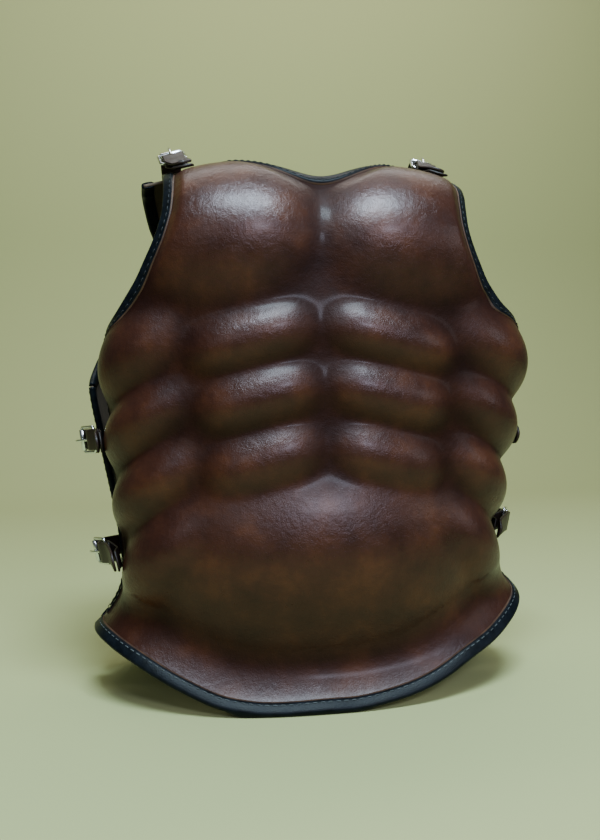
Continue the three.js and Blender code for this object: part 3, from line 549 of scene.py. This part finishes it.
def plain_leather(name, dark, light, rough, mottling=80.0, grain=0.3, specular=0.35):
    """Leather of one colour with a little mottling and a fine grain."""
    paint = Paint(name)
    mottle = paint.noise(mottling, detail=4.0)
    return paint.shaded({
        "Base Color": paint.ramp(mottle, (0.35, dark), (0.65, light)),
        "Roughness": paint.spread(mottle, low=rough - 0.06, high=rough + 0.08),
        "Specular IOR Level": specular,
        "Normal": paint.bump(paint.noise(700.0), strength=grain, distance=0.0006),
    })


def bright_metal(name, color, rough):
    """Polished metal with faint wear."""
    paint = Paint(name)
    return paint.shaded({
        "Base Color": (*color, 1.0),
        "Metallic": 1.0,
        "Roughness": paint.spread(paint.noise(220.0), low=rough, high=rough + 0.12),
    })


OUTER = outer_leather()
INNER = plain_leather(
    "inner_leather", (0.028, 0.017, 0.010), (0.052, 0.034, 0.020), rough=0.78, mottling=30.0, grain=0.5)
CUT_EDGE = plain_leather(
    "cut_edge", (0.06, 0.036, 0.021), (0.10, 0.066, 0.039), rough=0.7, mottling=90.0, grain=0.4)
BLACK = plain_leather(
    "black_leather", (0.002, 0.003, 0.004), (0.005, 0.007, 0.010), rough=0.36, mottling=120.0,
    specular=0.08)
SCRAPED = plain_leather(
    "scraped_margin", (0.030, 0.012, 0.006), (0.070, 0.030, 0.013), rough=0.6, mottling=60.0)
STRAP_BROWN = plain_leather("strap_leather", (0.012, 0.005, 0.0035), (0.025, 0.012, 0.008), rough=0.45)
CHAPE_BROWN = plain_leather("chape_leather", (0.008, 0.004, 0.0026), (0.016, 0.008, 0.005), rough=0.5)
NICKEL = bright_metal("nickel", (0.74, 0.76, 0.77), rough=0.14)
DARK_THREAD = plain_leather(
    "dark_thread", (0.005, 0.006, 0.007), (0.012, 0.014, 0.016), rough=0.6, mottling=300.0)
WAXED_THREAD = plain_leather(
    "waxed_thread", (0.03, 0.035, 0.038), (0.10, 0.115, 0.12), rough=0.5, mottling=35.0)
# Painted shade: near black, for the discs that stand for the shade inside the billet's holes.
HOLE_SHADE = plain_leather("hole", (0.002, 0.001, 0.001), (0.004, 0.003, 0.002), rough=0.8, mottling=45.0)

# ------------------------------------------------------------------ plates


def build_plate(plate):
    """A plate with its outer skin, its flesh side and the cut edge between them."""
    around, up, outer, normal = plate_net(plate)
    rows, columns = around.shape
    inner = outer - normal * LEATHER
    size = rows * columns
    front = plate["facing"] < 0
    faces = grid_faces(rows, columns, 0, flip=not front)
    faces += grid_faces(rows, columns, size, flip=front)
    slots = [0] * ((rows - 1) * (columns - 1)) + [1] * ((rows - 1) * (columns - 1))
    loop = edge_loop(rows, columns)
    for a, b in zip(loop, loop[1:] + loop[:1]):
        quad = (a, a + size, b + size, b)
        faces.append(quad if front else tuple(reversed(quad)))
        slots.append(2)
    name = f"{plate['name']}_plate"
    obj = mesh_object(f"{name}_look", np.concatenate([outer.reshape(-1, 3), inner.reshape(-1, 3)]),
                      faces, [OUTER, INNER, CUT_EDGE], slots)
    # This share sets the outer leather's polish, and how far its colour is darkened with painted shade in
    # the hollows.
    polish_and_shade = polish_and_shade_share(plate, around, up).ravel().astype(np.float32)
    attribute = obj.data.attributes.new("polish_and_shade", "FLOAT", "POINT")
    attribute.data.foreach_set("value", np.tile(polish_and_shade, 2))
    finished(obj, "brown_leather", name)


def polish_and_shade_share(plate, around, up):
    """How much the leather is polished and spared painted shade: wholly on the muscles' crests, partly on
    the flared rim.
    """
    crest = smooth_step(relief(plate, around, up) / POLISH_AND_SHADE["height"])
    _, reach = plate["flare"]
    rim = smooth_step(1 - (up - rim_up(plate, around)) / reach)
    return np.maximum(crest, POLISH_AND_SHADE["rim"] * rim)


def edge_loop(rows, columns):
    """The net's outer knots, once round, counter-clockwise as seen from outside the front."""
    bottom = list(range(columns))
    right = [j * columns + columns - 1 for j in range(1, rows)]
    top = [(rows - 1) * columns + i for i in range(columns - 2, -1, -1)]
    left = [j * columns for j in range(rows - 2, 0, -1)]
    return bottom + right + top + left


# ------------------------------------------------------------------ bindings


def edge_line(plate, which, start, end, count):
    """(around, up) along one edge of a plate, and the direction of (around, up) inwards."""
    share = np.linspace(start, end, count)
    level, upright = np.zeros_like(share), np.ones_like(share)
    if which == "rim":
        around = (2 * share - 1) * QUARTER
        return around, rim_up(plate, around), np.stack([level, upright], -1)
    if which == "neck":
        across = (2 * share - 1) * plate["neck_bound"]
        up = top_up(plate, across)
        return across * edge_around(plate, up, across), up, np.stack([level, -upright], -1)
    sign = 1.0 if which.endswith("left") else -1.0
    if which.startswith("side"):
        low, high = rim_up(plate, np.array(sign * QUARTER)), plate["seam_top"]
    else:
        low, high = plate["seam_top"], plate["shoulder_top"]
    up = low + (high - low) * share
    return sign * edge_around(plate, up, sign), up, np.stack([-sign * upright, level], -1)


def named_part(plate, which, part):
    """A piece's name, such as front_side_binding_left."""
    edge, *hand = which.split("_")
    return "_".join([plate["name"], edge, part, *hand])


def binding_thickness(which):
    return BINDING["neck_thick" if which == "neck" else "thick"]


def along_edge(plate, around, up, inward):
    """Edge points, unit directions into the plate square to the edge, and normals."""
    point = moulded_point(plate, around, up)
    normal = normal_of(plate, moulded_point, around, up)
    into = unit(np.cross(normal, unit(np.gradient(point, axis=0))))
    probe = moulded_point(plate, around + inward[:, 0], up + inward[:, 1]) - point
    if np.sum(into * probe) < 0:
        into = -into
    return point, into, normal


def skin_in_from_edge(plate, around, up, inward, into, distance):
    """The plate's point and normal at a true distance in from its edge. The step that reaches
    it is corrected a few times by how far it got."""
    point = moulded_point(plate, around, up)
    step = np.full(len(around), float(distance))
    for _ in range(4):
        there = moulded_point(plate, around + inward[:, 0] * step, up + inward[:, 1] * step)
        reached = np.sum((there - point) * into, -1)
        step = step * np.clip(distance / np.maximum(reached, 0.2), 0.3, 3.0)
    at = (around + inward[:, 0] * step, up + inward[:, 1] * step)
    return moulded_point(plate, *at), normal_of(plate, moulded_point, *at)


def binding_lift(station, thick):
    """How far a binding stands off the skin, at a distance in from the plate's edge."""
    if station > BINDING["flap"]:
        return BINDING["margin_lift"]
    if station == BINDING["flap"]:
        return BINDING["bed"] + thick / 2
    puff = BINDING["puff"] * math.sin(math.pi * station / BINDING["shoulder"])
    return BINDING["bed"] + (thick + puff)


def binding_rings(plate, around, up, inward, thick):
    """Rings of a folded strip's section round a plate's edge: over the outer skin, round the
    fold and over the inner skin, and back along its hidden side."""
    point, into, normal = along_edge(plate, around, up, inward)
    outside, hidden, inside, hidden_in = [], [], [], []
    for station in BINDING_STATIONS:
        skin, skin_normal = skin_in_from_edge(plate, around, up, inward, into, station)
        lift = binding_lift(station, thick)
        outside.append(skin + skin_normal * lift)
        hidden.append(skin + skin_normal * BINDING["hidden_lift"])
        inside.append(skin - skin_normal * (LEATHER + lift))
        hidden_in.append(skin - skin_normal * (LEATHER + BINDING["hidden_lift"]))
    fold = []
    half = LEATHER / 2 + BINDING["bed"] + thick
    middle = point - normal * LEATHER / 2
    for degrees in FOLD_DEGREES:
        turn = math.radians(degrees)
        beyond = into * (half * BINDING["fold_reach"]) * math.sin(turn)
        fold.append(middle + normal * half * math.cos(turn) - beyond)
    return np.stack(outside + fold + inside[::-1] + hidden_in + hidden[::-1], 1)


def build_binding(plate, which):
    """A binding, black but for the first strip of each ring, the plate's scraped margin."""
    line = edge_line(plate, which, **BOUND_EDGES[which.split("_")[0]])
    rings = binding_rings(plate, *line, binding_thickness(which))
    if which == "rim":
        rings = pressed(rings, *plate["foot"])
    points, faces = swept(rings)
    count, size = rings.shape[:2]
    slots = ([1] + [0] * (size - 1)) * (count - 1) + [0, 0]
    node = named_part(plate, which, "binding")
    obj = mesh_object(f"{node}_look", points, faces, [BLACK, SCRAPED], slots)
    finished(obj, "black_leather", node)


def pressed(rings, start, end):
    """Rings whose fold settles onto the floor between two distances across."""
    floor = -FOOT["below"]
    x = rings[:, :1, 0]
    inside = np.minimum(x - start, end - x) + FOOT["blend"]
    lowest = rings[..., 2].min(axis=1, keepdims=True)
    sink = np.clip(1 - (rings[..., 2] - lowest) / FOOT["sinks"], 0, 1) * smooth_step(inside / FOOT["blend"])
    rings[..., 2] = np.maximum(rings[..., 2] - (lowest - floor) * sink, floor)
    return rings


def stitch_rings(a, b, normal):
    """A short thread that dips into the leather at both ends."""
    radius = STITCH["radius"]
    side = np.cross(unit(b - a), normal)
    turns = np.linspace(0, 2 * math.pi, STITCH["sides"], endpoint=False)
    rings = []
    for share, height in STITCH_ARC:
        centre = a + (b - a) * share + normal * height * radius * 2
        rings.append([centre + (side * math.cos(t) + normal * math.sin(t)) * radius for t in turns])
    return rings


def lengths_along(line):
    """The distance of each point of a line from its start."""
    return np.concatenate([[0], np.cumsum(np.linalg.norm(np.diff(line, axis=0), axis=1))])


def interpolated(vectors, lengths, at):
    """The vectors given along a line, at other distances from its start."""
    return np.stack([np.interp(at, lengths, vectors[:, k]) for k in range(3)], -1)


def build_stitches(plate, which):
    """A running stitch along a binding, at an even pitch."""
    around, up, inward = edge_line(plate, which, STITCH["start"], STITCH["end"], STITCH["samples"])
    _, into, _ = along_edge(plate, around, up, inward)
    distance = BINDING["flap"] - STITCH["in_from_edge"]
    skin, normal = skin_in_from_edge(plate, around, up, inward, into, distance)
    line = skin + normal * (BINDING["bed"] + binding_thickness(which) + STITCH["proud"])
    lengths = lengths_along(line)
    long = STITCH["long"]
    parts = []
    for at in np.arange(STITCH["pitch"] / 2, lengths[-1] - long, STITCH["pitch"]):
        a, b = interpolated(line, lengths, at), interpolated(line, lengths, at + long)
        parts.append(swept(stitch_rings(a, b, unit(interpolated(normal, lengths, at + long / 2)))))
    points, faces = join_swept(parts)
    thread = WAXED_THREAD if which == "rim" else DARK_THREAD
    finished(mesh_object(named_part(plate, which, "stitches"), points, faces, [thread]), "black_leather")


# ------------------------------------------------------------------ straps and buckles


def smooth_path(points, count):
    """A centripetal Catmull-Rom curve through points, sampled evenly, with its tangents."""
    p = np.asarray(points, float)
    p = np.concatenate([[2 * p[0] - p[1]], p, [2 * p[-1] - p[-2]]])
    out = []
    for i in range(1, len(p) - 2):
        p0, p1, p2, p3 = p[i - 1:i + 3]
        t1 = np.linalg.norm(p1 - p0) ** 0.5
        t2 = t1 + np.linalg.norm(p2 - p1) ** 0.5
        t3 = t2 + np.linalg.norm(p3 - p2) ** 0.5
        for t in np.linspace(t1, t2, PATH_STEPS["between"], endpoint=i == len(p) - 3):
            a1 = p0 * (t1 - t) / t1 + p1 * t / t1
            a2 = p1 * (t2 - t) / (t2 - t1) + p2 * (t - t1) / (t2 - t1)
            a3 = p2 * (t3 - t) / (t3 - t2) + p3 * (t - t2) / (t3 - t2)
            b1 = a1 * (t2 - t) / t2 + a2 * t / t2
            b2 = a2 * (t3 - t) / (t3 - t1) + a3 * (t - t1) / (t3 - t1)
            out.append(b1 * (t2 - t) / (t2 - t1) + b2 * (t - t1) / (t2 - t1))
    out = np.array(out)
    lengths = lengths_along(out)
    line = interpolated(out, lengths, np.linspace(0, lengths[-1], count))
    return line, unit(np.gradient(line, axis=0)), lengths[-1]


def strap_section(width, thick):
    """The outline of a strap's section, with rounded edges: across, out."""
    half, r = width / 2, min(thick * 0.42, STRAP["round"])
    corners = []
    for sx, sy, start in ((1, 1, 0), (-1, 1, 90), (-1, -1, 180), (1, -1, 270)):
        for k in range(4):
            turn = math.radians(start + k * 30)
            across = sx * (half - r) + r * math.cos(turn)
            corners.append((across, sy * (thick / 2 - r) + r * math.sin(turn)))
    return corners


def ribbon(path, wide, width, thick, count, round_tip=False):
    """A strap along a path, with its width along `wide` and, if asked for, a rounded far end."""
    line, tangent, length = smooth_path(path, count)
    out = unit(np.cross(tangent, wide))
    rings = []
    for k in range(count):
        left = length * (1 - k / (count - 1))
        width_here = width
        if round_tip and left < width / 2:
            width_here = width * max(math.sqrt(1 - (1 - left / (width / 2)) ** 2), 0.3)
        rings.append([line[k] + wide * a + out[k] * b for a, b in strap_section(width_here, thick)])
    return swept(rings)


def wire(path, wide, radius, sides, closed=False):
    """A round bar along a path that lies square to `wide`."""
    p = np.asarray(path, float)
    run = np.roll(p, -1, 0) - np.roll(p, 1, 0) if closed else np.gradient(p, axis=0)
    out = unit(np.cross(unit(run), wide))
    turns = np.linspace(0, 2 * math.pi, sides, endpoint=False)
    rings = [[p[k] + (wide * math.cos(t) + out[k] * math.sin(t)) * radius for t in turns]
             for k in range(len(p))]
    return swept(rings, closed)


class Strap:
    """One fastener's place: its centre, its three directions and the plates it lies on."""

    def __init__(self, name):
        spec = BUCKLES[name]
        sign = 1.0 if name.endswith("left") else -1.0
        lean, turn = math.radians(spec["lean"]), math.radians(spec["turn"])
        self.spec, self.sign = spec, sign
        self.level = name.startswith("shoulder")
        self.name = name
        self.centre = np.array(spec["centre"], float)
        if self.level:
            self.wide = np.array([math.cos(turn), 0, -sign * math.sin(turn)])
            along = np.array([0, math.cos(lean), math.sin(lean)])
        else:
            self.wide = np.array([sign * math.sin(turn), 0, math.cos(turn)])
            along = np.array([sign * math.sin(lean), math.cos(lean), 0])
        self.along = unit(along - self.wide * along.dot(self.wide))
        self.out = np.cross(self.wide, self.along) * (1 if self.level else -sign)

    def local(self, along, out):
        """A point at lengths along the strap and out of it, from the buckle's middle."""
        return self.centre + self.along * along + self.out * out

    def turned(self, radius, degrees):
        """A point on a circle round the buckle's near bar."""
        turn = math.radians(degrees)
        return self.local(-BUCKLE["half"] - radius * math.cos(turn), radius * math.sin(turn))

    def trace(self, plate, offset, share):
        """Points of a plate's surface under a line of the strap, from edge to middle."""
        if self.level:
            around = np.full_like(share, (self.centre[0] + offset) * SHOULDER_AROUND)
            return moulded_point(plate, around, plate["shoulder_top"] - TRACED * share)
        around = self.sign * (QUARTER - TRACED * share)
        return moulded_point(plate, around, np.full_like(share, self.centre[2] + offset))

    def seat(self, plate, y):
        """Where the strap lies on a plate at a depth, and the direction out of the plate."""
        share = np.linspace(0, 1, SAMPLES + 1)

        def profile(offset):
            cut = self.trace(plate, offset, share)
            nearest = int(np.argmin(np.abs(cut[:, 1] - y)))
            a, b = cut[max(nearest - SPAN, 0)], cut[min(nearest + SPAN, SAMPLES)]
            return cut[nearest], b - a

        point, run = profile(0.0)
        out = unit(np.cross(run, self.wide))
        if out.dot(self.out) < 0:
            out = -out
        offsets = [share_of_width * STRAP["width"] for share_of_width in (-0.5, -0.25, 0.25, 0.5)]
        lift = max(0.0, *((profile(offset)[0] - point).dot(out) for offset in offsets))
        return point + out * lift, out

    def laid_on(self, plate, start, end, lift):
        """Guiding points of a strap that lies on a plate from one depth to another."""
        count = max(1, round(abs(end - start) / STEP))
        points = []
        for k in range(count + 1):
            point, out = self.seat(plate, start + (end - start) * k / count)
            points.append(point + out * (lift + BED))
        return points


def chape_path(strap):
    """Up the front plate, round the buckle's near bar and back over itself."""
    layer = CHAPE["thick"] / 2
    fold = layer + GAP / 2
    eye = BUCKLE["wire"] + GAP + layer
    neck = BUCKLE["half"] + CHAPE["neck"]
    return [
        *strap.laid_on(FRONT, *strap.spec["chape"], GAP + layer),
        strap.local(-neck, -fold - CHAPE["swell"]),
        *(strap.turned(eye, degrees) for degrees in (-90, -135, 180, 135, 90)),
        strap.local(-neck, fold + CHAPE["swell"]), strap.local(-BUCKLE["half"] - CHAPE["fold"], fold),
    ]


def prong_path(strap):
    """Round the near bar, over the roller, and drooping at the tip."""
    half = BUCKLE["half"]
    ring = BUCKLE["wire"] + GAP + BUCKLE["prong"]
    over = BUCKLE["roller"] + GAP + BUCKLE["prong"]
    return [
        *(strap.turned(ring, degrees) for degrees in range(-120, 75, 15)),
        strap.local(-half + 4, ring), strap.local(0, ring),
        strap.local(half - 3, over), strap.local(half + 2, over),
        strap.local(half + BUCKLE["tip"], over - BUCKLE["droop"]),
    ]


def billet_path(strap):
    """Off the back plate, under the roller, up through the frame, and over the chape's eye, its
    fold and then the chape on the front plate."""
    layer, half = STRAP["thick"] / 2, BUCKLE["half"]
    chape = CHAPE["thick"]
    under = BUCKLE["roller"] + GAP + layer
    on_eye = BUCKLE["wire"] + GAP + chape + GAP + layer
    on_fold = chape / 2 + GAP / 2 + chape / 2 + GAP + layer
    on_chape = GAP + chape + GAP + layer
    return [
        *strap.laid_on(BACK, *strap.spec["billet"], GAP + layer),
        strap.local(half + 8, -under - 0.8), strap.local(half, -under), strap.local(half - 5, -under + 0.6),
        strap.local(-1, 0.6), strap.local(-half + 4, on_eye - 0.8), strap.local(-half, on_eye),
        strap.local(-half - 8, on_eye - 0.4), strap.local(-half - CHAPE["fold"] - 3, on_fold + 1.6),
        *strap.laid_on(FRONT, *strap.spec["tail"], on_chape + STRAP["loose"]),
    ]


def frame_path(strap):
    """Round the buckle's frame, an oblong with small round corners."""
    half, corner = BUCKLE["half"], BUCKLE["corner"]
    half_wide = BUCKLE["inside"] / 2 + BUCKLE["wire"]
    points = []
    for a, w, start in ((1, 1, 90), (1, -1, 0), (-1, -1, -90), (-1, 1, -180)):
        for k in range(7):
            turn = math.radians(start - k * 15)
            along = a * (half - corner) + corner * math.cos(turn)
            wide = w * (half_wide - corner) + corner * math.sin(turn)
            points.append(strap.local(along, 0) + strap.wide * wide)
    return points


def roller_rings(strap):
    """The roller: a tube with rolled ends, through rings along its axis and back up its bore."""
    reach = BUCKLE["inside"] / 2 - BUCKLE["end_play"]
    outer, bore = BUCKLE["roller"], BUCKLE["bore"]
    lip, body = outer - BUCKLE["lip"], reach - BUCKLE["lip_long"]
    profile = [(bore, -reach), (lip, -reach), (outer, -body), (outer, body), (lip, reach), (bore, reach)]
    turns = np.linspace(0, 2 * math.pi, SIDES["roller"], endpoint=False)
    axis = strap.local(BUCKLE["half"], 0)
    rings = [[axis + strap.wide * w + (strap.along * math.cos(t) + strap.out * math.sin(t)) * r
              for t in turns] for r, w in profile]
    return swept(rings, closed=True)


def strap_holes(strap):
    """Near-black discs in the billet's spare holes, counted back from its tip, on both faces: painted shade
    standing for the dark inside of each hole.
    """
    last = PATH_STEPS["holes"]
    line, tangent, length = smooth_path(billet_path(strap), last + 1)
    turns = np.linspace(0, 2 * math.pi, SIDES["hole"], endpoint=False)
    reach = STRAP["thick"] / 2 + STRAP["hole_proud"]
    radius = STRAP["hole_radius"]
    parts = []
    for back in STRAP["holes"]:
        k = round((1 - back / length) * last)
        out = unit(np.cross(tangent[k], strap.wide))
        spokes = [(strap.wide * math.cos(t) + tangent[k] * math.sin(t)) * radius for t in turns]
        parts.append(swept([[line[k] + out * side + spoke for spoke in spokes] for side in (-reach, reach)]))
    return join_swept(parts)


def build_fastener(strap):
    """A fastener's five pieces, and the near-black discs of painted shade that show its spare holes."""
    chape = ribbon(chape_path(strap), strap.wide, CHAPE["width"], CHAPE["thick"], CHAPE["rings"])
    billet = ribbon(billet_path(strap), strap.wide, STRAP["width"], STRAP["thick"], STRAP["rings"],
                    round_tip=True)
    frame_wire = wire(frame_path(strap), strap.out, BUCKLE["wire"], SIDES["frame"], closed=True)
    prong_line, _, _ = smooth_path(prong_path(strap), PATH_STEPS["prong"])
    prong = wire(prong_line, strap.wide, BUCKLE["prong"], SIDES["prong"])
    pieces = (
        ("holes", strap_holes(strap), HOLE_SHADE, "strap_leather", None),
        ("chape", chape, CHAPE_BROWN, "brown_leather", "chape"),
        ("billet", billet, STRAP_BROWN, "strap_leather", "billet"),
        ("frame", frame_wire, NICKEL, "bright_steel", "buckle_frame"),
        ("roller", roller_rings(strap), NICKEL, "bright_steel", "buckle_roller"),
        ("prong", prong, NICKEL, "bright_steel", "buckle_prong"),
    )
    for part, shape, material, slot, node in pieces:
        obj = mesh_object(f"{strap.name}_{part}_look", *shape, [material], smooth=part != "holes")
        finished(obj, slot, *([f"{strap.name}_{node}"] if node else []))


# ------------------------------------------------------------------ the object

for plate in (FRONT, BACK):
    build_plate(plate)
    for edges in (("rim", "neck"), ("side_left", "armhole_left"), ("side_right", "armhole_right")):
        for edge in edges:
            build_binding(plate, edge)
        for edge in edges:
            build_stitches(plate, edge)

for buckle in BUCKLES:
    build_fastener(Strap(buckle))

# ------------------------------------------------------------------ floor, light and camera


# The floor and backdrop, in metres: where it starts, where and how it bends, and its top.
FLOOR = {
    "start": -2.2, "bend": 1.3, "radius": 0.8, "steps": 12, "top": 3.2, "half_width": 4.0,
    "color": (0.385, 0.405, 0.175, 1.0), "rough": 0.9,
}

LIGHTS = {
    "ceiling": {"place": (0.05, -0.75, 1.70), "target": (0, -0.05, 0.3), "size": (0.75, 0.36),
                "power": 58, "color": (0.66, 0.87, 1.0)},
    "window": {"place": (0.34, -1.72, 1.20), "target": (0, -0.1, 0.2), "size": (0.42, 0.28),
               "power": 17, "color": (0.74, 0.80, 1.0)},
    "front": {"place": (-1.0, -1.9, 1.2), "target": (0, 0, 0.3), "size": (0.9, 0.6),
              "power": 4, "color": (0.85, 0.92, 1.0)},
    "right": {"place": (1.7, -1.1, 1.0), "target": (0, 0, 0.3), "size": (0.7, 0.7),
              "power": 5, "color": (0.9, 0.95, 1.0)},
    "backdrop": {"place": (0.2, 0.9, 2.3), "target": (0, 1.9, 0.5), "size": (2.4, 0.8),
                 "power": 36, "color": (1.0, 1.0, 0.95)},
}
SKY = {"color": (0.86, 0.92, 1.0, 1.0), "strength": 0.10}
CAMERA = {
    "place": (-0.1514, -0.8562, 0.2824), "yaw": 9.5, "pitch": -2.0, "roll": -0.8,
    "lens": 37.2, "sensor": 36.0, "near": 0.05,
}


def build_floor():
    """A pale floor that bends up into a backdrop."""
    bend, radius = FLOOR["bend"], FLOOR["radius"]
    profile = [(FLOOR["start"], 0.0), (bend, 0.0)]
    for k in range(1, FLOOR["steps"] + 1):
        turn = math.pi / 2 * k / FLOOR["steps"]
        profile.append((bend + radius * math.sin(turn), radius - radius * math.cos(turn)))
    profile.append((bend + radius, FLOOR["top"]))
    points = [(x, y, z) for y, z in profile for x in (-FLOOR["half_width"], FLOOR["half_width"])]
    mesh = bpy.data.meshes.new("floor")
    mesh.from_pydata(points, [], grid_faces(len(profile), 2))
    mesh.polygons.foreach_set("use_smooth", np.ones(len(mesh.polygons), bool))
    paint = Paint("floor")
    mesh.materials.append(paint.shaded({"Base Color": FLOOR["color"], "Roughness": FLOOR["rough"]}))
    floor = bpy.data.objects.new("floor", mesh)
    bpy.context.scene.collection.objects.link(floor)


def area_light(name, place, target, size, power, color):
    lamp = bpy.data.lights.new(name, "AREA")
    lamp.shape = "RECTANGLE"
    lamp.size, lamp.size_y = size
    lamp.energy = power
    lamp.color = color
    obj = bpy.data.objects.new(name, lamp)
    obj.location = place
    aim = Vector(target) - Vector(place)
    obj.rotation_euler = aim.to_track_quat("-Z", "Y").to_euler()
    bpy.context.scene.collection.objects.link(obj)


def build_lights():
    for name, light in LIGHTS.items():
        area_light(name, **light)
    world = bpy.data.worlds.new("world")
    world.use_nodes = True
    background = world.node_tree.nodes["Background"]
    background.inputs["Color"].default_value = SKY["color"]
    background.inputs["Strength"].default_value = SKY["strength"]
    bpy.context.scene.world = world


def build_camera():
    """Seen from a little to the wearer's right, just below half height."""
    data = bpy.data.cameras.new("camera")
    data.sensor_fit = "VERTICAL"
    data.sensor_height = CAMERA["sensor"]
    data.lens = CAMERA["lens"]
    data.clip_start = CAMERA["near"]
    camera = bpy.data.objects.new("camera", data)
    yaw, pitch, roll = (math.radians(CAMERA[k]) for k in ("yaw", "pitch", "roll"))
    turn = Matrix.Rotation(-yaw, 4, "Z") @ Matrix.Rotation(math.pi / 2 + pitch, 4, "X")
    turn = turn @ Matrix.Rotation(roll, 4, "Z")
    place = Vector(CAMERA["place"]) + Vector(SHIFT / 1000)
    camera.matrix_world = Matrix.Translation(place) @ turn
    bpy.context.scene.collection.objects.link(camera)
    bpy.context.scene.camera = camera


build_floor()
build_lights()
build_camera()
